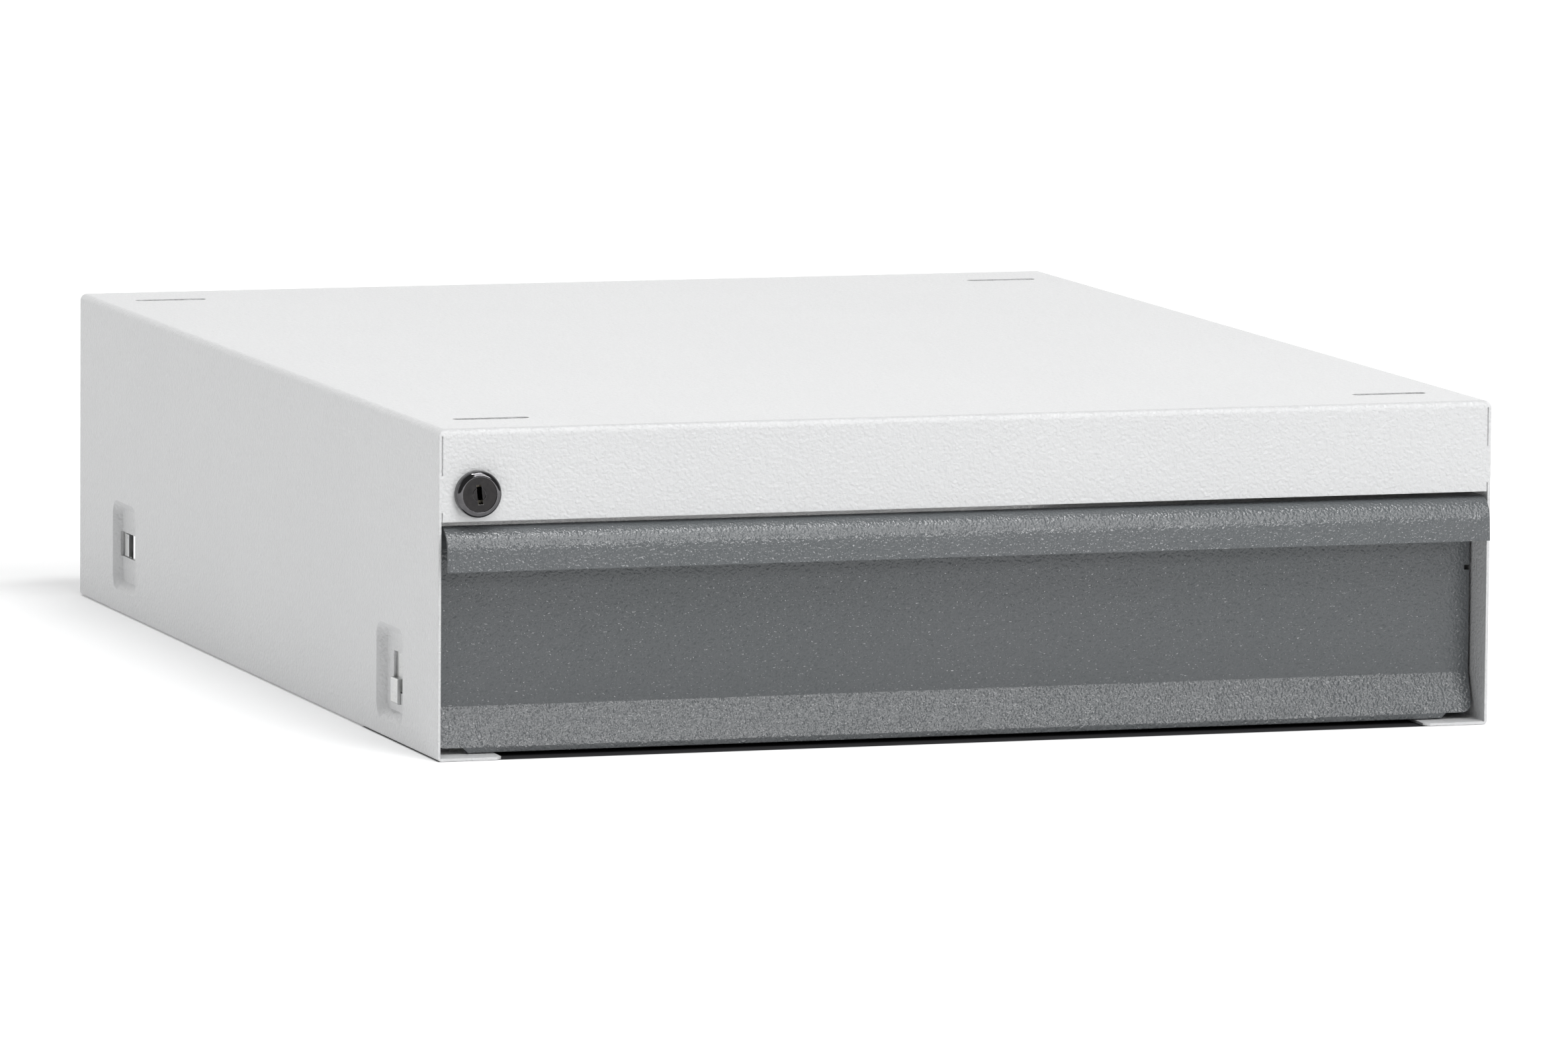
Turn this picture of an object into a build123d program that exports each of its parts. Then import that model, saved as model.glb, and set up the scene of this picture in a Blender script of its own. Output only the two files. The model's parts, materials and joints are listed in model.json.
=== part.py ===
from build123d import *
import os

# Under desk drawer: a folded steel casing that hangs under a desk top, and a lockable
# drawer on telescopic ball slides. Millimetres. X runs across, Y runs from the front
# to the back, and Z is up. Working heights start at the casing's underside, and
# working depths start at the casing's front plane.

# ---- Casing: one folded sheet ----
casing_width = 480.0
casing_depth = 600.0
casing_height = 143.0
casing_sheet = 1.2
casing_bend = 3.0
base_bend = 1.8
lintel_height = 40.0
lintel_return_depth = 12.0
base_flange_width = 29.0
base_flange_chamfer = 2.5
rear_flange_height = 22.0
seam_width = 0.5
seam_depth = 0.5
weld_length = 16.0
weld_above_lintel_edge = 4.0

# ---- Slotted holes in the top, for screws up into the desk ----
fixing_from_side = 34.0
fixing_from_end = 37.0
fixing_slot_length = 34.0
fixing_slot_width = 6.0

# ---- Pressed recesses in the sides, with a slot for the runner hooks ----
recess_depth = 4.0
recess_length = 41.0
recess_height = 42.0
recess_corner = 7.0
front_recess_setback = 54.0
front_recess_bottom = 8.0
rear_recess_from_back = 60.0
rear_recess_bottom = 10.5
front_slot_inset = 14.0
front_slot_length = 13.2
front_slot_rise = 12.5
front_slot_height = 17.6
rear_slot_inset = 15.5
rear_slot_length = 22.5
rear_slot_rise = 15.5
rear_slot_height = 11.5

# ---- Telescopic slides ----
slide_height = 45.7
slide_centre_height = 33.0
slide_setback = 22.0
slide_from_back = 100.0
slide_overlap = 28.0
cabinet_member_tail = 45.0
cabinet_sheet = 1.0
middle_sheet = 1.2
drawer_member_sheet = 1.2
drawer_member_width = 8.5
cage_sheet = 0.4
cage_flange_sheet = 0.6
member_gap = 0.3
outer_ball_radius = 2.0
inner_ball_radius = 1.65
outer_race_gap = 3.55
inner_race_gap = 2.9
race_clearance = 0.05
pocket_clearance = 0.1
flange_end_gap = 2.2
cage_edge_margin = 1.4
cage_front_gap = 22.5
cage_end_gap = 10.5
ball_pitch = 20.0
ball_end_distance = 10.0
stop_length = 6.0
stop_gap = 0.3
stop_height = 24.0
hook_sheet = 1.5
hook_front_gap = 2.5
hook_back_gap = 0.2
hook_drop = 5.0
hook_height = 11.2
hook_floor_gap = 0.1
neck_clearance = 0.5
lug_length = 6.7
lug_clearance = 0.6
window_end_gap = 0.5

# ---- Drawer front: one folded sheet ----
front_sheet = 1.0
front_side_gap = 1.1
front_top_gap = 2.0
front_bottom_gap = 1.7
lip_projection = 6.7
lip_lean = 0.5
lip_straight = 8.5
lip_radius = 10.5
panel_setback = 17.7
top_bend = 2.2
kick_drop = 17.0
kick_forward = 6.0
kick_flange = 2.2
kick_flange_inset = 12.4
kick_flange_chamfer = 2.2
kick_bend = 1.6
corner_radius = 4.5
return_depth = 12.0
return_bottom = 24.0
return_below_lip = 15.6
relief_height = 2.2
relief_width = 2.5

# ---- Drawer body ----
tray_sheet = 1.0
tray_bend = 2.0
tray_floor_height = 8.0
tray_below_front = 16.0
tray_hem = 8.0
tray_from_back = 55.0
tab_width = 15.0
tab_end_gap = 4.0
back_top_gap = 5.0
back_flange = 12.0
back_hem = 8.0

# ---- Fasteners ----
rivet_radius = 2.0
rivet_head_radius = 3.6
rivet_head_height = 1.0
rivet_tail_radius = 2.9
rivet_tail_height = 1.6
hole_clearance = 0.1
slide_rivet_front_distance = 38.0
slide_rivet_rear_distance = 30.0
back_rivet_bottom_height = 25.0
back_rivet_top_distance = 15.0
stud_radius = 2.0
stud_length = 7.5
stud_bottom_height = 25.0
stud_top_distance = 17.0
nut_across_flats = 7.0
nut_height = 3.2

# ---- Cam lock in the lintel ----
lock_from_side = 17.0
lock_above_lintel_edge = 12.0
lock_flange_radius = 10.1
lock_flange_height = 4.5
lock_dome_radius = 2.2
lock_barrel_radius = 8.0
lock_face_radius = 7.6
lock_face_recess = 0.4
lock_face_depth = 2.4
lock_plug_radius = 5.9
lock_running_gap = 0.06
lock_nut_across_flats = 20.0
lock_nut_height = 4.0
keyway_width = 2.3
keyway_height = 8.6
keyway_depth = 17.0
keyway_tilt = 6.0
key_ring_radius = 3.1
key_ring_sheet = 0.5
key_ring_height = 0.3
wafer_count = 5
wafer_pitch = 2.4
wafer_sheet = 0.9
wafer_width = 4.6
wafer_height = 9.4
wafer_gap = 0.05
wafer_start = 1.5
tang_width = 7.0
tang_length = 2.2
cam_behind_front = 1.5
cam_sheet = 2.0
cam_width = 13.0
cam_reach = 25.0
cam_hole_gap = 0.1
cam_screw_radius = 2.0
cam_screw_head_radius = 4.4
cam_screw_head_height = 2.4
cam_screw_length = 6.0

# ---- Derived places ----
casing_half = casing_width / 2
casing_inner_half = casing_half - casing_sheet
lintel_bottom = casing_height - lintel_height
flange_inner_half = casing_half - base_flange_width
fixing_spacing_x = casing_width - 2 * fixing_from_side
fixing_spacing_y = casing_depth - 2 * fixing_from_end
fixing_mid_depth = casing_depth / 2

rear_recess_setback = casing_depth - rear_recess_from_back - recess_length
front_slot_setback = front_recess_setback + front_slot_inset
front_slot_bottom = front_recess_bottom + front_slot_rise
rear_slot_setback = rear_recess_setback + rear_slot_inset
rear_slot_bottom = rear_recess_bottom + rear_slot_rise

slide_face = casing_inner_half - recess_depth
slide_end = casing_depth - slide_from_back
slide_length = slide_end - slide_setback
half_slide = slide_height / 2
drawer_travel = slide_length - slide_overlap
cage_setback = slide_setback + drawer_travel / 4 + cage_front_gap
cage_length = slide_length - drawer_travel / 2 - cage_front_gap - cage_end_gap
hook_setback = front_slot_setback + hook_front_gap
hook_width = front_slot_length - hook_front_gap - hook_back_gap
hook_bottom = front_slot_bottom - hook_drop

outer_cage_u = cabinet_sheet + member_gap
middle_u = outer_cage_u + cage_sheet + member_gap
inner_cage_u = middle_u + middle_sheet + member_gap
drawer_member_u = inner_cage_u + cage_sheet + member_gap
slide_thickness = drawer_member_u + drawer_member_width
cabinet_tip_u = slide_thickness - flange_end_gap
middle_tip_u = cabinet_tip_u - member_gap
outer_ball_u = (middle_u + cabinet_tip_u) / 2
inner_ball_u = (drawer_member_u + middle_tip_u) / 2
middle_half = half_slide - cabinet_sheet - outer_race_gap
drawer_member_half = middle_half - middle_sheet - inner_race_gap
outer_ball_w = middle_half + outer_race_gap / 2
inner_ball_w = drawer_member_half + inner_race_gap / 2

front_half = casing_inner_half - front_side_gap
front_top = lintel_bottom - front_top_gap
front_back_face = panel_setback + front_sheet
lip_nose_height = front_top - lip_radius
lip_bottom = lip_nose_height - lip_straight
lip_face = lip_lean - lip_projection
kick_bottom = front_bottom_gap + kick_flange
kick_top = kick_bottom + kick_drop
kick_face = panel_setback - kick_forward
return_top = lip_bottom - return_below_lip

tray_side_top = front_top - tray_below_front
tray_back_setback = casing_depth - tray_from_back
tray_half = slide_face - slide_thickness
tray_inner_half = tray_half - tray_sheet
tray_floor_top = tray_floor_height + tray_sheet
tab_back = front_back_face + tray_sheet
back_top = tray_side_top - back_top_gap
back_face = tray_back_setback - tray_sheet
back_rivet_setback = back_face - back_flange / 2
stud_x = tray_inner_half - tab_width / 2
stud_heights = (stud_bottom_height, tray_side_top - stud_top_distance)
back_rivet_heights = (back_rivet_bottom_height, back_top - back_rivet_top_distance)
first_slide_rivet = slide_setback + slide_rivet_front_distance
last_slide_rivet = slide_end - slide_rivet_rear_distance
middle_slide_rivet = (first_slide_rivet + last_slide_rivet) / 2
slide_rivet_setbacks = (first_slide_rivet, middle_slide_rivet, last_slide_rivet)

lock_x = lock_from_side - casing_half
lock_z = lintel_bottom + lock_above_lintel_edge
lock_face_y = lock_face_recess - lock_flange_height
lock_step_y = lock_face_y + lock_face_depth
cam_y = front_back_face + cam_behind_front
lock_end_y = cam_y - member_gap
cam_end_y = cam_y + cam_sheet

# The origin is under the middle of the whole object, lip included.
front_plane_y = lip_projection - (casing_depth + lip_projection) / 2


def span(x, y, z):
    """A box given by its low and high values along each axis."""
    size = (x[1] - x[0], y[1] - y[0], z[1] - z[0])
    middle = ((x[0] + x[1]) / 2, (y[0] + y[1]) / 2, (z[0] + z[1]) / 2)
    return Pos(*middle) * Box(*size)


def rod_x(radius, x, y, z):
    """A round bar along X, from x[0] to x[1]."""
    bar = Cylinder(radius, x[1] - x[0], rotation=(0, 90, 0))
    return Pos((x[0] + x[1]) / 2, y, z) * bar


def rod_y(radius, x, y, z):
    """A round bar along Y, from y[0] to y[1]."""
    bar = Cylinder(radius, y[1] - y[0], rotation=(90, 0, 0))
    return Pos(x, (y[0] + y[1]) / 2, z) * bar


def hex_y(across_flats, x, y, z):
    """A hexagonal bar along Y, from y[0] to y[1]."""
    outline = RegularPolygon(across_flats / 2, 6, major_radius=False)
    plane = Plane(origin=(x, y[0], z), x_dir=(1, 0, 0), z_dir=(0, 1, 0))
    return extrude(plane * outline, y[1] - y[0])


def opposite(shape):
    """The same shape on the left side."""
    return mirror(shape, about=Plane.YZ)


def union(shapes):
    """All the shapes joined into one."""
    total = shapes[0]
    for shape in shapes[1:]:
        total = total + shape
    return total


# ---- Casing ----
def bent_block(half, y, z, top_bend_radius, base_bend_radius):
    """A block with its long edges and its front top edge rounded as sheet bends."""
    block = span((-half, half), y, z)
    long_edges = block.edges().filter_by(Axis.Y).group_by(Axis.Z)
    cross_edges = block.edges().filter_by(Axis.X)
    front_top_edge = cross_edges.group_by(Axis.Z)[-1].sort_by(Axis.Y)[0]
    block = fillet(ShapeList(long_edges[-1] + [front_top_edge]), top_bend_radius)
    base_edges = block.edges().filter_by(Axis.Y).group_by(Axis.Z)[0]
    return fillet(base_edges, base_bend_radius)


def recess_form(setback, bottom, start_x, spread):
    """The pressed shape of one recess on the right side, sloping inwards at 45 degrees."""
    middle_y = setback + recess_length / 2
    middle_z = bottom + recess_height / 2
    plane = Plane(origin=(start_x, middle_y, middle_z), x_dir=(0, 1, 0), z_dir=(-1, 0, 0))
    length = recess_length + 2 * spread
    height = recess_height + 2 * spread
    outline = RectangleRounded(length, height, recess_corner + spread)
    return extrude(plane * outline, recess_depth, taper=45)


def recess_pair(start_x, spread):
    """The front and rear recess shapes on the right side."""
    front = recess_form(front_recess_setback, front_recess_bottom, start_x, spread)
    return front + recess_form(rear_recess_setback, rear_recess_bottom, start_x, spread)


def runner_slots():
    """The cuts through the two recess floors on the right side."""
    through = (slide_face - casing_sheet, casing_half)
    front_y = (front_slot_setback, front_slot_setback + front_slot_length)
    front_z = (front_slot_bottom, front_slot_bottom + front_slot_height)
    rear_y = (rear_slot_setback, rear_slot_setback + rear_slot_length)
    rear_z = (rear_slot_bottom, rear_slot_bottom + rear_slot_height)
    return span(through, front_y, front_z) + span(through, rear_y, rear_z)


def fixing_slots():
    """Four slotted holes through the top."""
    outline = SlotOverall(fixing_slot_length, fixing_slot_width)
    height = casing_height - casing_sheet / 2
    places = GridLocations(fixing_spacing_x, fixing_spacing_y, 2, 2)
    plane = Plane.XY.offset(height)
    cut = extrude(plane * outline, casing_sheet, both=True)
    return union([Pos(0, fixing_mid_depth, 0) * place * cut for place in places])


def seam_grooves():
    """The open seam between the lintel's end and each side, left out along the weld."""
    weld_bottom = lintel_bottom + weld_above_lintel_edge
    weld_top = weld_bottom + weld_length
    x = (casing_inner_half - seam_width, casing_inner_half)
    y = (-seam_depth, seam_depth)
    lower = span(x, y, (lintel_bottom, weld_bottom))
    upper = span(x, y, (weld_top, casing_height - casing_bend))
    right = lower + upper
    return right + opposite(right)


def base_cut():
    """The opening between the base flanges, with their front corners chamfered."""
    y = (-casing_sheet, casing_depth + casing_sheet)
    gap = span((-flange_inner_half, flange_inner_half), y, (-casing_sheet, 2 * casing_sheet))
    wide = flange_inner_half + base_flange_chamfer
    corner = Polyline(
        (-wide, 0), (wide, 0),
        (flange_inner_half, base_flange_chamfer), (-flange_inner_half, base_flange_chamfer),
        close=True,
    )
    chamfers = extrude(make_face(corner), 2 * casing_sheet, both=True)
    return gap + chamfers


def build_casing():
    """Top, sides, lintel, base flanges and rear flange, folded from one sheet."""
    outer = bent_block(
        casing_half, (0, casing_depth), (0, casing_height), casing_bend, base_bend
    )
    hollow = bent_block(
        casing_inner_half,
        (casing_sheet, casing_depth + casing_sheet),
        (casing_sheet, casing_height - casing_sheet),
        casing_bend - casing_sheet,
        base_bend - casing_sheet,
    )
    doorway = span(
        (-casing_inner_half, casing_inner_half),
        (-casing_sheet, 2 * casing_sheet),
        (casing_sheet, lintel_bottom),
    )
    shell = outer - hollow - doorway - base_cut()
    lintel_return = span(
        (lock_x + lock_nut_across_flats, casing_inner_half),
        (0, lintel_return_depth),
        (lintel_bottom, lintel_bottom + casing_sheet),
    )
    rear_flange = span(
        (-casing_inner_half, casing_inner_half),
        (casing_depth - casing_sheet, casing_depth),
        (casing_height - rear_flange_height, casing_height - casing_sheet),
    )
    shell = shell + lintel_return + rear_flange
    wall_spread = (2 ** 0.5 - 1) * casing_sheet
    bumps = recess_pair(casing_inner_half, wall_spread)
    pockets = recess_pair(casing_half, 0) + runner_slots()
    shell = shell + bumps + opposite(bumps)
    shell = shell - pockets - opposite(pockets)
    shell = shell - fixing_slots() - seam_grooves()
    lock_hole = rod_y(
        lock_barrel_radius + lock_running_gap, lock_x, (-casing_sheet, 2 * casing_sheet), lock_z
    )
    return shell - lock_hole


# ---- Slides, modelled on the right side. u runs inwards from the slide's outer face. ----
def slide_block(u, y, w):
    """A box in slide coordinates, where w is the height from the slide's centre line."""
    x = (slide_face - u[1], slide_face - u[0])
    z = (slide_centre_height + w[0], slide_centre_height + w[1])
    return span(x, y, z)


def channel(web_u, tip_u, half, web_sheet, flange_sheet, y):
    """A C channel with its web at web_u and its flanges reaching to tip_u."""
    inwards = tip_u > web_u
    web_far = web_u + web_sheet if inwards else web_u - web_sheet
    web = slide_block(sorted((web_u, web_far)), y, (-half, half))
    flange_u = sorted((web_u, tip_u))
    upper = slide_block(flange_u, y, (half - flange_sheet, half))
    lower = slide_block(flange_u, y, (-half, flange_sheet - half))
    return web + upper + lower


def races(radius, u, w, y):
    """The round grooves that a pair of ball rows runs in."""
    x = slide_face - u
    grooves = [
        rod_y(radius + race_clearance, x, y, slide_centre_height + side * w) for side in (-1, 1)
    ]
    return union(grooves)


def outer_races(y):
    """The grooves for the ball rows between the cabinet member and the middle member."""
    return races(outer_ball_radius, outer_ball_u, outer_ball_w, y)


def inner_races(y):
    """The grooves for the ball rows between the middle member and the drawer member."""
    return races(inner_ball_radius, inner_ball_u, inner_ball_w, y)


def front_hook():
    """The hook that drops over the lower edge of the front slot."""
    hook_y = (hook_setback, hook_setback + hook_width)
    hook_top = hook_bottom + hook_height
    plate_near = slide_face + casing_sheet + hook_floor_gap
    plate_far = plate_near + hook_sheet
    plate = span((plate_near, plate_far), hook_y, (hook_bottom, hook_top))
    neck_z = (front_slot_bottom + neck_clearance, hook_top)
    neck = span((slide_face - cabinet_sheet, plate_far), hook_y, neck_z)
    bend = (plate + neck).edges().filter_by(Axis.Y).sort_by(Axis.X)[-2:]
    return fillet(bend, hook_sheet / 2)


def rear_lug_start():
    """The depth at which the rear lug starts, behind its window."""
    return rear_slot_setback + rear_slot_length / 2


def rear_lug():
    """The lug that stands in the rear slot."""
    lug_y = (rear_lug_start(), rear_lug_start() + lug_length)
    lug_z = (
        rear_slot_bottom + lug_clearance,
        rear_slot_bottom + rear_slot_height - lug_clearance,
    )
    return span((slide_face - cabinet_sheet, slide_face + casing_sheet), lug_y, lug_z)


def rear_window():
    """The hole in the web that the lug was cut and bent from."""
    window_y = (rear_slot_setback + window_end_gap, rear_lug_start())
    window_z = (rear_slot_bottom, rear_slot_bottom + rear_slot_height)
    return span((slide_face - 2 * cabinet_sheet, slide_face + cabinet_sheet), window_y, window_z)


def build_cabinet_member():
    """The outer slide member, hooked into the casing's side."""
    y = (slide_setback, slide_end + cabinet_member_tail)
    body = channel(0, cabinet_tip_u, half_slide, cabinet_sheet, cabinet_sheet, y)
    body = body - outer_races(y)
    return body + front_hook() + rear_lug() - rear_window()


def build_middle_member():
    """The middle slide member, which runs on both sets of balls."""
    y = (slide_setback, slide_end)
    body = channel(middle_u, middle_tip_u, middle_half, middle_sheet, middle_sheet, y)
    return body - outer_races(y) - inner_races(y)


def build_drawer_member():
    """The inner slide member, riveted to the drawer's side."""
    y = (slide_setback, slide_end)
    sheet = drawer_member_sheet
    body = channel(slide_thickness, drawer_member_u, drawer_member_half, sheet, sheet, y)
    body = body - inner_races(y)
    for setback in slide_rivet_setbacks:
        body = body - rivet_hole(setback, slide_centre_height)
    return body


def ball_places():
    """The depths of the balls along a cage."""
    count = int((cage_length - 2 * ball_end_distance) / ball_pitch) + 1
    first = cage_setback + ball_end_distance
    return [first + index * ball_pitch for index in range(count)]


def build_cage(web_u, tip_u, ball_radius, ball_u, ball_w):
    """A ball cage: a thin channel with a pocket for each ball."""
    y = (cage_setback, cage_setback + cage_length)
    half = ball_w + cage_flange_sheet / 2
    cage = channel(web_u, tip_u, half, cage_sheet, cage_flange_sheet, y)
    pocket = Cylinder(ball_radius + pocket_clearance, 2 * half + cage_flange_sheet)
    x = slide_face - ball_u
    pockets = [Pos(x, setback, slide_centre_height) * pocket for setback in ball_places()]
    return cage - union(pockets)


def build_balls(ball_radius, ball_u, ball_w):
    """Two rows of loose balls, one above and one below."""
    x = slide_face - ball_u
    balls = []
    for setback in ball_places():
        for side in (-1, 1):
            place = Pos(x, setback, slide_centre_height + side * ball_w)
            balls.append(place * Sphere(ball_radius))
    return Compound(children=balls)


def build_slide_stop():
    """The rubber block that the moving members come home against."""
    y = (slide_end + stop_gap, slide_end + stop_gap + stop_length)
    u = (cabinet_sheet, cabinet_tip_u)
    block = slide_block(u, y, (-stop_height / 2, stop_height / 2))
    return fillet(block.edges().filter_by(Axis.X), cabinet_sheet)


# ---- Drawer front ----
def front_section():
    """The folded section of the drawer front, from the lip round to the kick flange.

    The line follows the sheet's outside, which is the lip's front and the panel's back.
    """
    lip_start = (-lip_projection, lip_bottom)
    lip_end = (lip_face, lip_nose_height)
    nose_end = (lip_face + lip_radius, front_top)
    lip = Line(lip_start, lip_end)
    nose = RadiusArc(lip_end, nose_end, lip_radius)
    kick_back_face = kick_face + front_sheet
    folds = FilletPolyline(
        nose_end,
        (front_back_face, front_top),
        (front_back_face, kick_top),
        (kick_back_face, kick_bottom),
        (kick_back_face, front_bottom_gap),
        radius=(top_bend, kick_bend, kick_bend / 2),
    )
    outer = Wire(lip.edges() + nose.edges() + folds.edges())
    sheet = outer.offset_2d(front_sheet, side=Side.RIGHT)
    return make_face(sheet)


def front_outline():
    """The drawer front seen from the front, with round lower corners."""
    width = 2 * front_half
    body = Rectangle(width, front_top - kick_bottom, align=(Align.CENTER, Align.MIN))
    body = Pos(0, kick_bottom) * body
    body = fillet(body.vertices().group_by(Axis.Y)[0], corner_radius)
    flange_half = front_half - kick_flange_inset
    flange = Polyline(
        (flange_half, kick_bottom),
        (flange_half - kick_flange_chamfer, front_bottom_gap),
        (kick_flange_chamfer - flange_half, front_bottom_gap),
        (-flange_half, kick_bottom),
        close=True,
    )
    relief = Rectangle(2 * relief_width, relief_height, align=(Align.CENTER, Align.MIN))
    relief = Pos(front_half, return_top) * relief
    return body + make_face(flange) - relief - mirror(relief, about=Plane.YZ)


def side_return():
    """The flange folded back along the panel's right edge."""
    block = span(
        (front_half - front_sheet, front_half),
        (panel_setback, front_back_face + return_depth),
        (return_bottom, return_top),
    )
    edge = block.edges().filter_by(Axis.Z).group_by(Axis.Y)[0].sort_by(Axis.X)[-1]
    return fillet(edge, front_sheet / 2)


def build_drawer_front():
    """The drawer front with its grip lip, side returns and weld studs."""
    section = Plane.YZ.offset(-front_half) * front_section()
    folded = extrude(section, 2 * front_half)
    outline = Plane.XZ.offset(2 * lip_projection) * front_outline()
    reach = 2 * lip_projection + front_back_face + return_depth
    front = folded & extrude(outline, -reach)
    returns = side_return()
    front = front + returns + opposite(returns)
    for height in stud_heights:
        for side in (-1, 1):
            y = (panel_setback + front_sheet / 2, front_back_face + stud_length)
            front = front + rod_y(stud_radius, side * stud_x, y, height)
    return front


# ---- Drawer body ----
def rivet_hole(setback, height):
    """A hole along X for a rivet through a right-hand wall."""
    x = (tray_inner_half - back_flange, slide_face)
    return rod_x(rivet_radius + hole_clearance, x, setback, height)


def build_drawer_tray():
    """Floor, sides, top hems and front tabs, folded from one sheet."""
    y = (front_back_face, tray_back_setback)
    block = span((-tray_half, tray_half), y, (tray_floor_height, tray_side_top))
    lower_edges = block.edges().filter_by(Axis.Y).group_by(Axis.Z)[0]
    block = fillet(lower_edges, tray_bend)
    hollow = span(
        (-tray_inner_half, tray_inner_half),
        (y[0] - tray_sheet, y[1] + tray_sheet),
        (tray_floor_top, tray_side_top - tray_sheet),
    )
    hollow_edges = hollow.edges().filter_by(Axis.Y).group_by(Axis.Z)[0]
    hollow = fillet(hollow_edges, tray_bend - tray_sheet)
    hem_half = tray_half - tray_hem
    mouth_y = (y[0] - tray_sheet, y[1] + tray_sheet)
    mouth = span((-hem_half, hem_half), mouth_y, (tray_floor_top, front_top))
    tray = block - hollow - mouth
    tab = span(
        (tray_inner_half - tab_width, tray_inner_half),
        (front_back_face, tab_back),
        (tray_floor_top + tab_end_gap, tray_side_top - tray_sheet - tab_end_gap),
    )
    for height in stud_heights:
        tab = tab - rod_y(stud_radius + hole_clearance, stud_x, (0, 2 * tab_back), height)
    tray = tray + tab + opposite(tab)
    return tray - wall_rivet_holes()


def wall_rivet_holes():
    """The rivet holes through both side walls."""
    holes = [rivet_hole(setback, slide_centre_height) for setback in slide_rivet_setbacks]
    holes = holes + [rivet_hole(back_rivet_setback, height) for height in back_rivet_heights]
    right = union(holes)
    return right + opposite(right)


def build_drawer_back():
    """The back panel, with side flanges riveted to the tray and a folded top edge."""
    z = (tray_floor_top, back_top)
    inner_bend_gap = tray_bend - tray_sheet
    panel = span((-tray_inner_half, tray_inner_half), (back_face, tray_back_setback), z)
    corner_edges = panel.edges().filter_by(Axis.Y).group_by(Axis.Z)[0]
    panel = fillet(corner_edges, inner_bend_gap)
    hem = span(
        (-tray_inner_half + tray_hem, tray_inner_half - tray_hem),
        (back_face - back_hem, back_face),
        (back_top - tray_sheet, back_top),
    )
    flange = span(
        (tray_inner_half - tray_sheet, tray_inner_half),
        (back_face - back_flange, back_face),
        (tray_floor_top + inner_bend_gap, back_top),
    )
    panel = panel + hem + flange + opposite(flange)
    holes = union([rivet_hole(back_rivet_setback, height) for height in back_rivet_heights])
    return panel - holes - opposite(holes)


# ---- Fasteners ----
def rivet(head_face, tail_face, setback, height):
    """A blind rivet along X: head outside head_face, tail inside tail_face."""
    shank = rod_x(rivet_radius, (tail_face - rivet_tail_height, head_face), setback, height)
    head = rod_x(rivet_head_radius, (head_face, head_face + rivet_head_height), setback, height)
    rim = head.edges().filter_by(GeomType.CIRCLE).sort_by(Axis.X)[-1]
    head = fillet(rim, rivet_head_height / 2)
    tail = rod_x(rivet_tail_radius, (tail_face - rivet_tail_height, tail_face), setback, height)
    end = tail.edges().filter_by(GeomType.CIRCLE).sort_by(Axis.X)[0]
    tail = fillet(end, rivet_tail_height / 2)
    return shank + head + tail


def both_sides(shapes):
    """A group of separate solids on the right side, and the same on the left."""
    return Compound(children=shapes + [opposite(shape) for shape in shapes])


def build_slide_rivets():
    """The rivets that hold the drawer members to the tray."""
    head_face = tray_half + drawer_member_sheet
    rivets = [
        rivet(head_face, tray_inner_half, setback, slide_centre_height)
        for setback in slide_rivet_setbacks
    ]
    return both_sides(rivets)


def build_back_rivets():
    """The rivets that hold the back panel to the tray."""
    tail_face = tray_inner_half - tray_sheet
    rivets = [
        rivet(tray_half, tail_face, back_rivet_setback, height) for height in back_rivet_heights
    ]
    return both_sides(rivets)


def build_front_nuts():
    """The nuts on the drawer front's weld studs."""
    y = (tab_back, tab_back + nut_height)
    nuts = []
    for height in stud_heights:
        nut = hex_y(nut_across_flats, stud_x, y, height)
        nuts.append(nut - rod_y(stud_radius + hole_clearance, stud_x, (0, 2 * y[1]), height))
    return both_sides(nuts)


# ---- Cam lock ----
def lock_rod(radius, y):
    """A round bar on the lock's axis."""
    return rod_y(radius, lock_x, y, lock_z)


def build_lock_housing():
    """The fixed lock body: a domed flange and a barrel through the lintel."""
    flange = lock_rod(lock_flange_radius, (-lock_flange_height, 0))
    rim = flange.edges().filter_by(GeomType.CIRCLE).sort_by(Axis.Y)[0]
    flange = fillet(rim, lock_dome_radius)
    body = flange + lock_rod(lock_barrel_radius, (0, lock_end_y))
    gap = lock_running_gap
    mouth = lock_rod(lock_face_radius + gap, (-2 * lock_flange_height, lock_step_y + gap))
    bore = lock_rod(lock_plug_radius + gap, (lock_step_y, 2 * lock_end_y))
    return body - mouth - bore


def build_lock_nut():
    """The hexagon nut that clamps the lock to the lintel."""
    y = (casing_sheet, casing_sheet + lock_nut_height)
    nut = hex_y(lock_nut_across_flats, lock_x, y, lock_z)
    return nut - lock_rod(lock_barrel_radius, (0, 2 * y[1]))


def keyed(shape):
    """The shape turned to the keyway's resting tilt about the lock's axis."""
    return Pos(lock_x, 0, lock_z) * Rot(0, -keyway_tilt, 0) * Pos(-lock_x, 0, -lock_z) * shape


def wafer_spans():
    """The near and far depth of each wafer."""
    first = lock_step_y + wafer_start
    starts = [first + index * wafer_pitch for index in range(wafer_count)]
    return [(start, start + wafer_sheet) for start in starts]


def lock_block(half_x, y, half_z):
    """A box centred on the lock's axis."""
    return span((lock_x - half_x, lock_x + half_x), y, (lock_z - half_z, lock_z + half_z))


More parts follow.
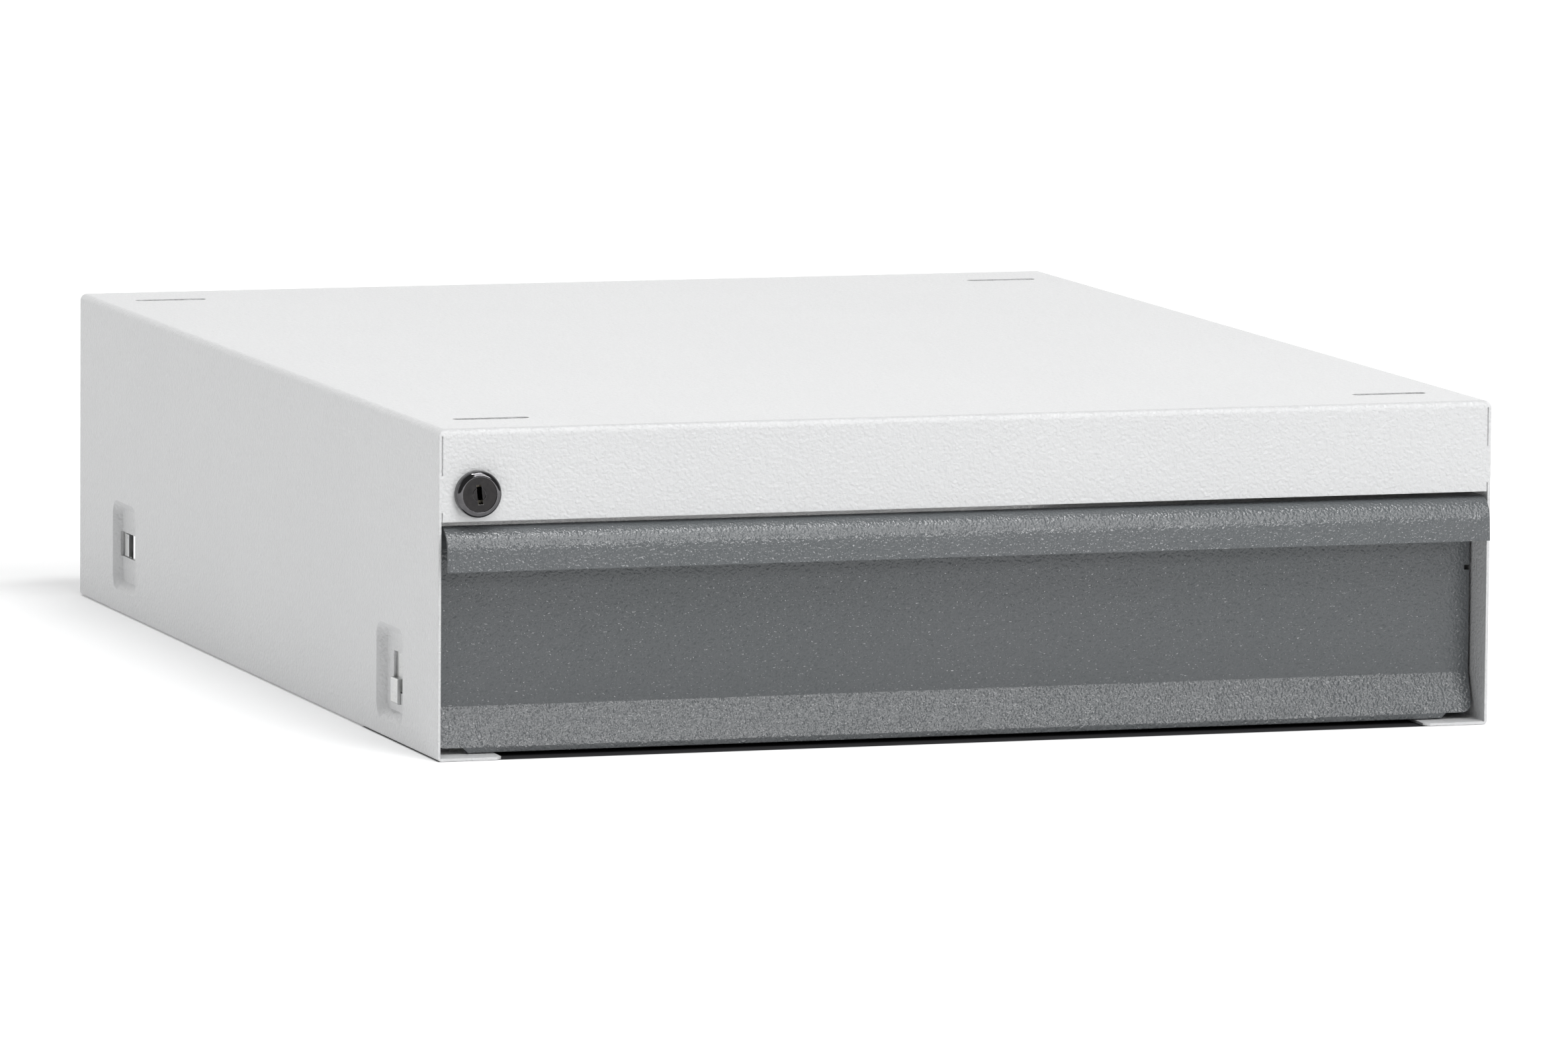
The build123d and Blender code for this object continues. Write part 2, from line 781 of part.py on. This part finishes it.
def build_lock_plug():
    """The turning plug, with its keyway, wafer slots and square tang."""
    plug = lock_rod(lock_face_radius, (lock_face_y, lock_step_y))
    plug = plug + lock_rod(lock_plug_radius, (lock_step_y, lock_end_y + member_gap))
    ring = lock_rod(key_ring_radius, (lock_face_y - key_ring_height, lock_face_y))
    ring = ring - lock_rod(key_ring_radius - key_ring_sheet, (-2 * lock_flange_height, lock_face_y))
    plug = plug + ring
    plug = plug + lock_block(tang_width / 2, (cam_y, cam_y + tang_length), tang_width / 2)
    keyway_y = (-2 * lock_flange_height, lock_face_y + keyway_depth)
    plug = plug - keyed(lock_block(keyway_width / 2, keyway_y, keyway_height / 2))
    for near, far in wafer_spans():
        y = (near - wafer_gap, far + wafer_gap)
        slot = lock_block(wafer_width / 2 + wafer_gap, y, wafer_height / 2 + wafer_gap)
        plug = plug - keyed(slot)
    screw_y = (cam_y + tang_length - cam_screw_length, 2 * cam_end_y)
    return plug - lock_rod(cam_screw_radius + hole_clearance, screw_y)


def build_lock_wafers():
    """The wafers in the plug, each with its key window."""
    wafers = []
    for y in wafer_spans():
        wafer = lock_block(wafer_width / 2, y, wafer_height / 2)
        window = lock_block(keyway_width / 2, y, keyway_height / 3)
        wafers.append(keyed(wafer - window))
    return Compound(children=wafers)


def build_lock_cam():
    """The cam, level at rest, with its square hole on the plug's tang."""
    y = (cam_y, cam_end_y)
    half = cam_width / 2
    cam = lock_rod(half, y)
    cam = cam + span((lock_x, lock_x + cam_reach), y, (lock_z - half, lock_z + half))
    tip = cam.edges().filter_by(Axis.Y).sort_by(Axis.X)[-2:]
    cam = fillet(tip, half / 2)
    hole_half = tang_width / 2 + cam_hole_gap
    return cam - lock_block(hole_half, (0, 2 * cam_end_y), hole_half)


def build_cam_screw():
    """The screw that holds the cam on the plug."""
    head_y = cam_y + tang_length
    shank = lock_rod(cam_screw_radius, (head_y - cam_screw_length, head_y))
    head = lock_rod(cam_screw_head_radius, (head_y, head_y + cam_screw_head_height))
    rim = head.edges().filter_by(GeomType.CIRCLE).sort_by(Axis.Y)[-1]
    head = fillet(rim, cam_screw_head_height / 2)
    slot_y = (head_y + cam_screw_head_height / 2, head_y + 2 * cam_screw_head_height)
    slot = lock_block(cam_screw_head_radius, slot_y, cam_sheet / 4)
    return shank + head - slot


def paired_parts():
    """The slide parts, by name, as modelled on the right side."""
    outer = (outer_ball_radius, outer_ball_u, outer_ball_w)
    inner = (inner_ball_radius, inner_ball_u, inner_ball_w)
    outer_tip = cabinet_tip_u - cage_edge_margin
    inner_tip = middle_tip_u - cage_edge_margin / 2
    return {
        "cabinet_member": build_cabinet_member(),
        "middle_member": build_middle_member(),
        "drawer_member": build_drawer_member(),
        "outer_cage": build_cage(outer_cage_u, outer_tip, *outer),
        "inner_cage": build_cage(inner_cage_u, inner_tip, *inner),
        "outer_balls": build_balls(*outer),
        "inner_balls": build_balls(*inner),
        "slide_stop": build_slide_stop(),
    }


def all_parts():
    """Every node by name."""
    parts = {
        "casing": build_casing(),
        "drawer_front": build_drawer_front(),
        "drawer_tray": build_drawer_tray(),
        "drawer_back": build_drawer_back(),
        "slide_rivets": build_slide_rivets(),
        "back_rivets": build_back_rivets(),
        "front_nuts": build_front_nuts(),
        "lock_housing": build_lock_housing(),
        "lock_nut": build_lock_nut(),
        "lock_plug": build_lock_plug(),
        "lock_wafers": build_lock_wafers(),
        "lock_cam": build_lock_cam(),
        "cam_screw": build_cam_screw(),
    }
    for name, shape in paired_parts().items():
        parts[name + "_right"] = shape
        parts[name + "_left"] = opposite(shape)
    return parts


os.makedirs("parts", exist_ok=True)
for node, shape in all_parts().items():
    export_step(Pos(0, front_plane_y, 0) * shape, f"parts/{node}.step")
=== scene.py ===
import json
import math

import bpy
from mathutils import Matrix, Vector


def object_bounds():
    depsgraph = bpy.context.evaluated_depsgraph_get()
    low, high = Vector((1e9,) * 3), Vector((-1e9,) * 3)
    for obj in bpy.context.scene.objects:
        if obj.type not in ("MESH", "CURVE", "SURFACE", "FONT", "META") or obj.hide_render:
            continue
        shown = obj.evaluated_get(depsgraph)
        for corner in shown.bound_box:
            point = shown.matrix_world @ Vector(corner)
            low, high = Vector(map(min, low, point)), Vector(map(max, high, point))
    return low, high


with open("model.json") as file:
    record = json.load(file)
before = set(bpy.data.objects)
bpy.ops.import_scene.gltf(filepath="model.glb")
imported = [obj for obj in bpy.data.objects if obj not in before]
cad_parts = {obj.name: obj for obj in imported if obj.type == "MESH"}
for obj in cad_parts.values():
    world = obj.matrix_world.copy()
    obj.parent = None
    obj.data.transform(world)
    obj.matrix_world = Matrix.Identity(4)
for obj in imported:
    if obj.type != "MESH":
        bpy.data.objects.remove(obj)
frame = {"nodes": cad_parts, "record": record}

cad_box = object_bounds()

# Under desk drawer in powder-coated sheet steel. Every CAD node is kept as it is. This file
# gives each one its finish, then adds the floor, the lights and the camera.
MM = 0.001


# ---- Node helpers ----
class Finish:
    """A material whose pattern is read from the object's own coordinates."""

    def __init__(self, name):
        self.material = bpy.data.materials.new(name)
        self.material.use_nodes = True
        self.tree = self.material.node_tree
        self.tree.nodes.clear()
        self.shader = self.tree.nodes.new("ShaderNodeBsdfPrincipled")
        out = self.tree.nodes.new("ShaderNodeOutputMaterial")
        self.tree.links.new(self.shader.outputs["BSDF"], out.inputs["Surface"])
        self.place = self.tree.nodes.new("ShaderNodeTexCoord").outputs["Object"]

    def link(self, source, socket):
        self.tree.links.new(source, socket)

    def stretched(self, scale):
        """The coordinates scaled by one factor per axis."""
        node = self.tree.nodes.new("ShaderNodeMapping")
        node.inputs["Scale"].default_value = scale
        self.link(self.place, node.inputs["Vector"])
        return node.outputs["Vector"]

    def noise(self, cell, detail=2.0, roughness=0.5, distortion=0.0, place=None):
        """Smooth noise, 0 to 1, whose lumps are about one cell across, in metres."""
        node = self.tree.nodes.new("ShaderNodeTexNoise")
        node.inputs["Scale"].default_value = 1 / cell
        node.inputs["Detail"].default_value = detail
        node.inputs["Roughness"].default_value = roughness
        node.inputs["Distortion"].default_value = distortion
        self.link(place or self.place, node.inputs["Vector"])
        return node.outputs["Fac"]

    def cells(self, cell, smooth=0.6):
        """Rounded cells about one cell across: 0 in their middles and rising between them."""
        node = self.tree.nodes.new("ShaderNodeTexVoronoi")
        node.feature = "SMOOTH_F1"
        node.inputs["Scale"].default_value = 1 / cell
        node.inputs["Smoothness"].default_value = smooth
        self.link(self.place, node.inputs["Vector"])
        return node.outputs["Distance"]

    def math(self, operation, a, b):
        """Two values, each a socket or a number, joined by an operation."""
        node = self.tree.nodes.new("ShaderNodeMath")
        node.operation = operation
        for socket, value in zip(node.inputs, (a, b)):
            if isinstance(value, (int, float)):
                socket.default_value = value
            else:
                self.link(value, socket)
        return node.outputs["Value"]

    def remap(self, value, source, target):
        """A value moved from one range to another, and held at its ends."""
        node = self.tree.nodes.new("ShaderNodeMapRange")
        node.inputs["From Min"].default_value = source[0]
        node.inputs["From Max"].default_value = source[1]
        node.inputs["To Min"].default_value = target[0]
        node.inputs["To Max"].default_value = target[1]
        self.link(value, node.inputs["Value"])
        return node.outputs["Result"]

    def blend(self, share, first, second):
        """A colour between first and second, each a socket or a colour."""
        node = self.tree.nodes.new("ShaderNodeMix")
        node.data_type = "RGBA"
        self.link(share, node.inputs[0])
        for socket, value in ((node.inputs[6], first), (node.inputs[7], second)):
            if isinstance(value, tuple):
                socket.default_value = (*value, 1)
            else:
                self.link(value, socket)
        return node.outputs[2]

    def rounded(self, radius):
        """Normals that round the sharp edges, and how near each point is to such an edge."""
        bevel = self.tree.nodes.new("ShaderNodeBevel")
        bevel.inputs["Radius"].default_value = radius
        true = self.tree.nodes.new("ShaderNodeNewGeometry").outputs["Normal"]
        dot = self.tree.nodes.new("ShaderNodeVectorMath")
        dot.operation = "DOT_PRODUCT"
        self.link(bevel.outputs["Normal"], dot.inputs[0])
        self.link(true, dot.inputs[1])
        return bevel.outputs["Normal"], self.remap(dot.outputs["Value"], (1.0, 0.8), (0.0, 1.0))

    def from_origin(self):
        """The distance from the object's origin, in metres."""
        node = self.tree.nodes.new("ShaderNodeVectorMath")
        node.operation = "LENGTH"
        self.link(self.place, node.inputs[0])
        return node.outputs["Value"]

    def inside(self, low, high, margin):
        """1 within a rectangle in X and Y, falling to 0 over a margin inside its edges."""
        axes = self.tree.nodes.new("ShaderNodeSeparateXYZ")
        self.link(self.place, axes.inputs["Vector"])
        share = 1.0
        for axis, near, far in zip("XY", low, high):
            offset = self.math("SUBTRACT", axes.outputs[axis], (near + far) / 2)
            from_middle = self.math("ABSOLUTE", offset, 0.0)
            half = (far - near) / 2
            within = self.remap(from_middle, (half - margin, half), (1.0, 0.0))
            share = self.math("MULTIPLY", within, share)
        return share

    def bump(self, height, depth, normal=None):
        """Relief of that depth, in metres, over a height of 0 to 1."""
        node = self.tree.nodes.new("ShaderNodeBump")
        node.inputs["Distance"].default_value = depth
        self.link(height, node.inputs["Height"])
        if normal is not None:
            self.link(normal, node.inputs["Normal"])
        return node.outputs["Normal"]

    def set(self, **values):
        """Shader sockets, by name with _ for a space, from sockets or plain values."""
        for name, value in values.items():
            socket = self.shader.inputs[name.replace("_", " ")]
            if isinstance(value, bpy.types.NodeSocket):
                self.link(value, socket)
            elif isinstance(value, tuple):
                socket.default_value = (*value, 1)
            else:
                socket.default_value = value
        return self.material


def lifted(colour, factor, offset=0.0):
    """A colour times a factor plus an offset, no channel past 1."""
    return tuple(min(1.0, c * factor + offset) for c in colour)


# ---- Finishes ----
# Each finish is built from base and tint, the two colours it drifts between, and gloss, the
# lowest and highest roughness. Every finish paints its edges paler, which is a painted highlight.
FULL = (0.0, 1.0)
PAINT_EDGE = 0.5 * MM
PLATE_EDGE = 0.25 * MM
POLISH_EDGE = 0.15 * MM
MOULD_EDGE = 0.2 * MM
COAT_DRIFT = 90 * MM
COAT_IOR = 1.5
DRAWN_LINE = 0.5 * MM
DRAWN_DEPTH = 0.012 * MM
PLATING_CLOUD = 9 * MM
PLATING_SPOT = 1.6 * MM
SMEAR = 2.5 * MM
RIPPLE = 1.1 * MM
BLOOM = 6 * MM


def powder_coat(name, base, tint, peel, depth, fine_depth, gloss):
    """Sprayed powder coat. peel is the width of its orange-peel lumps and depth their height."""
    f = Finish(name)
    edge_normal, edge = f.rounded(PAINT_EDGE)
    lumps = f.noise(peel, detail=1.5, roughness=0.45, distortion=0.35)
    ridges = f.cells(peel * 1.35)
    relief = f.math("ADD", f.math("MULTIPLY", lumps, 0.75), f.math("MULTIPLY", ridges, -0.35))
    fine = f.noise(peel * 0.3, detail=2.0)
    normal = f.bump(fine, fine_depth, f.bump(relief, depth, edge_normal))
    drift = f.noise(COAT_DRIFT, detail=3.0)
    mottle = f.noise(peel * 2.0, detail=2.0)
    colour = f.blend(f.remap(drift, (0.35, 0.65), FULL), base, tint)
    colour = f.blend(f.remap(mottle, (0.35, 0.7), (0.0, 0.6)), colour, lifted(base, 0.965))
    # Edges are painted paler here, a painted highlight along the sheet edges.
    colour = f.blend(f.math("MULTIPLY", edge, 0.6), colour, lifted(base, 1.12, 0.01))
    rough = f.math("ADD", f.remap(fine, (0.3, 0.7), gloss), f.math("MULTIPLY", edge, 0.08))
    return f.set(Base_Color=colour, Roughness=rough, Normal=normal, IOR=COAT_IOR)


def plated_steel(name, base, tint, grain, gloss):
    """Plated metal with drawn lines, which grain stretches, and cloudy, spotted plating."""
    f = Finish(name)
    edge_normal, edge = f.rounded(PLATE_EDGE)
    lines = f.noise(DRAWN_LINE, detail=3.0, place=f.stretched(grain))
    cloud = f.noise(PLATING_CLOUD, detail=4.0, roughness=0.6)
    spots = f.noise(PLATING_SPOT, detail=2.0)
    colour = f.blend(f.remap(cloud, (0.3, 0.7), FULL), base, tint)
    colour = f.blend(f.remap(lines, (0.45, 0.75), (0.0, 0.35)), colour, lifted(base, 0.8))
    # Edges are painted paler here, a painted highlight along them.
    colour = f.blend(f.math("MULTIPLY", edge, 0.7), colour, lifted(base, 1.25))
    rough = f.math("ADD", f.remap(spots, (0.3, 0.7), gloss), f.math("MULTIPLY", lines, 0.06))
    normal = f.bump(lines, DRAWN_DEPTH, edge_normal)
    return f.set(Base_Color=colour, Metallic=1.0, Roughness=rough, Normal=normal)


def polished_metal(name, base, tint, gloss, wave):
    """Polished metal with fine smears and a waviness of height wave."""
    f = Finish(name)
    edge_normal, edge = f.rounded(POLISH_EDGE)
    smear = f.noise(SMEAR, detail=4.0, roughness=0.6, distortion=0.6)
    ripple = f.noise(RIPPLE, detail=1.0)
    colour = f.blend(f.remap(smear, (0.3, 0.7), FULL), base, tint)
    # Edges are painted much paler here, a painted highlight along them.
    colour = f.blend(f.math("MULTIPLY", edge, 0.6), colour, lifted(base, 1.5, 0.25))
    rough = f.remap(smear, (0.35, 0.75), gloss)
    normal = f.bump(ripple, wave, edge_normal)
    return f.set(Base_Color=colour, Metallic=1.0, Roughness=rough, Normal=normal)


def moulded(name, base, tint, grain, depth, gloss):
    """Moulded plastic or rubber with a fine grain and a bloom of paler patches."""
    f = Finish(name)
    edge_normal, edge = f.rounded(MOULD_EDGE)
    skin = f.noise(grain, detail=2.0)
    bloom = f.noise(BLOOM, detail=4.0)
    colour = f.blend(f.remap(bloom, (0.35, 0.7), FULL), base, tint)
    # Edges are painted paler here, a painted highlight along them.
    colour = f.blend(f.math("MULTIPLY", edge, 0.5), colour, lifted(base, 1.5, 0.02))
    rough = f.remap(skin, (0.3, 0.7), gloss)
    return f.set(Base_Color=colour, Roughness=rough, Normal=f.bump(skin, depth, edge_normal))


finishes = {
    "casing_paint": powder_coat(
        "casing_powder_coat", (0.600, 0.604, 0.609), (0.612, 0.616, 0.620),
        1.35 * MM, 0.56 * MM, 0.008 * MM, (0.28, 0.40),
    ),
    "drawer_paint": powder_coat(
        "drawer_powder_coat", (0.101, 0.109, 0.114), (0.107, 0.113, 0.119),
        1.05 * MM, 0.36 * MM, 0.003 * MM, (0.07, 0.13),
    ),
    "slide_steel": plated_steel(
        "slide_zinc", (0.56, 0.57, 0.58), (0.64, 0.64, 0.62), (3.0, 0.06, 3.0), (0.24, 0.38)
    ),
    "rivet_steel": plated_steel(
        "rivet_aluminium", (0.62, 0.62, 0.63), (0.68, 0.68, 0.69), (1.0, 1.0, 1.0), (0.30, 0.45)
    ),
    "zinc_steel": plated_steel(
        "zinc_plate", (0.52, 0.53, 0.54), (0.62, 0.61, 0.56), (1.0, 1.0, 1.0), (0.25, 0.40)
    ),
    "ball_steel": polished_metal(
        "ball_steel", (0.62, 0.62, 0.63), (0.58, 0.58, 0.59), (0.05, 0.12), 0.002 * MM
    ),
    "cage_plastic": moulded(
        "cage_plastic", (0.030, 0.031, 0.033), (0.042, 0.043, 0.045),
        0.4 * MM, 0.01 * MM, (0.38, 0.55),
    ),
    "stop_rubber": moulded(
        "stop_rubber", (0.018, 0.018, 0.019), (0.030, 0.030, 0.031),
        0.5 * MM, 0.02 * MM, (0.60, 0.85),
    ),
    # The lock's chrome is painted near black, a painted dark reflection of a dark room in front.
    "lock_chrome": polished_metal(
        "lock_chrome_painted_dark_reflection", (0.038, 0.036, 0.036), (0.028, 0.027, 0.028), (0.04, 0.14), 0.004 * MM
    ),
    # The wafers are painted dark, a painted shade for the deep keyway they sit in.
    "wafer_brass": plated_steel(
        "wafer_brass", (0.17, 0.155, 0.125), (0.22, 0.20, 0.16), (1.0, 0.2, 1.0), (0.22, 0.36)
    ),
}

# The lock ring gets a paler copy of that painted-dark chrome, so it reflects lighter than the
# face: painted reflection.
by_node = {
    "lock_housing": polished_metal(
        "lock_ring_chrome_painted_dark_reflection", (0.125, 0.123, 0.127), (0.095, 0.093, 0.098), (0.03, 0.10), 0.010 * MM
    ),
}

for part in frame["record"]["subparts"]:
    node = frame["nodes"][part["node"]]
    finish = by_node.get(part["node"], finishes[part["material_slot"]])
    if not node.material_slots:
        node.data.materials.append(finish)
    for slot in node.material_slots:
        slot.material = finish


# ---- Floor ----
FLOOR_HALF = 15.0
FLOOR_GAP = 0.2 * MM
# The paper glows though it is no lamp, which is painted light: NEAR_GLOW at its middle under the
# object, rising to FAR_GLOW across GLOW_REACH.
NEAR_GLOW = 0.11
FAR_GLOW = 0.35
GLOW_REACH = (0.6, 2.5)
LIP_OVERHANG = 7 * MM
# A strip of floor under the drawer front is painted near black: a painted shadow.
PAINTED_SHADOW_DEPTH = 0.12
PAINTED_SHADOW_MARGIN = 1.5 * MM


def build_floor():
    """One flat square of pale paper with a glow of its own; a narrow strip under the drawer front
    is painted near black without glow, a painted shadow.
    """
    mesh = bpy.data.meshes.new("floor")
    signs = ((-1, -1), (1, -1), (1, 1), (-1, 1))
    corners = [(FLOOR_HALF * x, FLOOR_HALF * y, 0) for x, y in signs]
    mesh.from_pydata(corners, [], [(0, 1, 2, 3)])
    floor = bpy.data.objects.new("floor", mesh)
    bpy.context.scene.collection.objects.link(floor)
    floor.location.z = cad_box[0][2] - FLOOR_GAP
    f = Finish("floor_paper")
    grain = f.noise(0.9 * MM, detail=2.0)
    paper = f.blend(f.noise(0.6, detail=2.0), (0.945, 0.948, 0.95), (0.955, 0.957, 0.958))
    # Painted glow of the paper, weaker near its middle under the object.
    glow = f.remap(f.from_origin(), GLOW_REACH, (NEAR_GLOW, FAR_GLOW))
    front = cad_box[0][1] + LIP_OVERHANG
    low, high = (cad_box[0][0], front), (cad_box[1][0], front + PAINTED_SHADOW_DEPTH)
    # Mask of the painted shadow strip under the drawer front; its colour is near black and its
    # glow is off.
    under = f.inside(low, high, PAINTED_SHADOW_MARGIN)
    f.set(
        Base_Color=f.blend(under, paper, (0.03, 0.03, 0.032)),
        Roughness=f.remap(grain, (0.3, 0.7), (0.80, 0.95)),
        Specular_IOR_Level=0.1,
        Emission_Color=(1.0, 1.0, 1.0),
        Emission_Strength=f.math("MULTIPLY", f.remap(under, (0.0, 1.0), (1.0, 0.0)), glow),
    )
    mesh.materials.append(f.material)


build_floor()


# ---- Lights ----
# Azimuths are from the front, towards the right, and elevations from the floor, in degrees.
KEY_STRENGTH = 0.82
KEY_AZIMUTH, KEY_ELEVATION, KEY_SPREAD = -35, 79, 7
KEY_DISTANCE = 3.0
BOX_AZIMUTH = 17
BOX_DISTANCE = 5.0
SOFTBOXES = (
    # name, elevation, width and height in metres, radiance
    ("front_top", 43.5, (2.17, 2.67), 4.4),
    ("front_strip", 16.5, (1.9, 0.88), 9.0),
    ("over", 68, (2.3, 0.9), 12.8),
)
ROOM = 0.160
BACKDROP = 1.15
BEHIND_RANGE = (-0.25, 0.35, 0.0, 1.0)
LOW_RANGE = (0.35, 0.8, 1.0, 0.0)
middle = (Vector(cad_box[0]) + Vector(cad_box[1])) / 2


def add_light(name, data, azimuth, elevation, distance):
    """A light at that direction and distance from the object's middle, aimed at it."""
    light = bpy.data.objects.new(name, data)
    bpy.context.scene.collection.objects.link(light)
    a, e = math.radians(azimuth), math.radians(elevation)
    away = Vector((math.sin(a) * math.cos(e), -math.cos(a) * math.cos(e), math.sin(e)))
    light.location = middle + away * distance
    light.rotation_euler = away.to_track_quat("Z", "Y").to_euler()
    return light


def softbox(name, elevation, size, radiance):
    """A rectangular light that the camera doesn't see."""
    data = bpy.data.lights.new(name, "AREA")
    data.shape = "RECTANGLE"
    data.size, data.size_y = size
    data.energy = radiance * math.pi * size[0] * size[1]
    add_light(name, data, BOX_AZIMUTH, elevation, BOX_DISTANCE).visible_camera = False


def key_light():
    """Parallel light, as even over the floor as over the object."""
    data = bpy.data.lights.new("key", "SUN")
    data.angle = math.radians(KEY_SPREAD)
    data.energy = KEY_STRENGTH
    add_light("key", data, KEY_AZIMUTH, KEY_ELEVATION, KEY_DISTANCE)


key_light()
for settings in SOFTBOXES:
    softbox(*settings)


def studio_world():
    """Even light from all round, brighter low down behind the object, as from a white wall."""
    world = bpy.data.worlds.new("studio")
    bpy.context.scene.world = world
    world.use_nodes = True
    tree = world.node_tree

    def add(kind, **settings):
        node = tree.nodes.new(kind)
        for key, value in settings.items():
            setattr(node, key, value)
        return node

    axes = add("ShaderNodeSeparateXYZ")
    tree.links.new(add("ShaderNodeTexCoord").outputs["Generated"], axes.inputs[0])
    behind = add("ShaderNodeMapRange", interpolation_type="SMOOTHSTEP")
    low = add("ShaderNodeMapRange", interpolation_type="SMOOTHSTEP")
    for node, axis, values in ((behind, "Y", BEHIND_RANGE), (low, "Z", LOW_RANGE)):
        tree.links.new(axes.outputs[axis], node.inputs["Value"])
        for socket, value in zip(("From Min", "From Max", "To Min", "To Max"), values):
            node.inputs[socket].default_value = value
    wall = add("ShaderNodeMath", operation="MULTIPLY")
    tree.links.new(behind.outputs[0], wall.inputs[0])
    tree.links.new(low.outputs[0], wall.inputs[1])
    total = add("ShaderNodeMath", operation="MULTIPLY_ADD")
    tree.links.new(wall.outputs[0], total.inputs[0])
    total.inputs[1].default_value = BACKDROP
    total.inputs[2].default_value = ROOM
    tree.links.new(total.outputs[0], tree.nodes["Background"].inputs["Color"])


studio_world()


# ---- Camera ----
# Angles in radians: azimuth from the front towards the right, elevation and roll.
VIEW_AZIMUTH, VIEW_ELEVATION, VIEW_ROLL = -0.314073911, 0.117040756, 0.00774196
VIEW_PLACE = (-1.72900, -5.35712, 0.72596)
SENSOR_WIDTH = 36.0
FOCAL_LENGTH = 285.885
CLIP_RANGE = (0.1, 60.0)


def photo_camera():
    """The photograph's view: far away with a long lens, from the left and a little above."""
    flat = math.cos(VIEW_ELEVATION)
    back = Vector((
        math.sin(VIEW_AZIMUTH) * flat, -math.cos(VIEW_AZIMUTH) * flat, math.sin(VIEW_ELEVATION)
    ))
    right = Vector((math.cos(VIEW_AZIMUTH), math.sin(VIEW_AZIMUTH), 0))
    up = back.cross(right)
    turned = right * math.cos(VIEW_ROLL) + up * math.sin(VIEW_ROLL)
    raised = up * math.cos(VIEW_ROLL) - right * math.sin(VIEW_ROLL)
    data = bpy.data.cameras.new("photo_camera")
    data.sensor_width = SENSOR_WIDTH
    data.lens = FOCAL_LENGTH
    data.clip_start, data.clip_end = CLIP_RANGE
    camera = bpy.data.objects.new("photo_camera", data)
    bpy.context.scene.collection.objects.link(camera)
    rotation = Matrix((turned, raised, back)).transposed().to_4x4()
    camera.matrix_world = Matrix.Translation(VIEW_PLACE) @ rotation
    bpy.context.scene.camera = camera


photo_camera()
bpy.context.scene.view_settings.view_transform = "Standard"
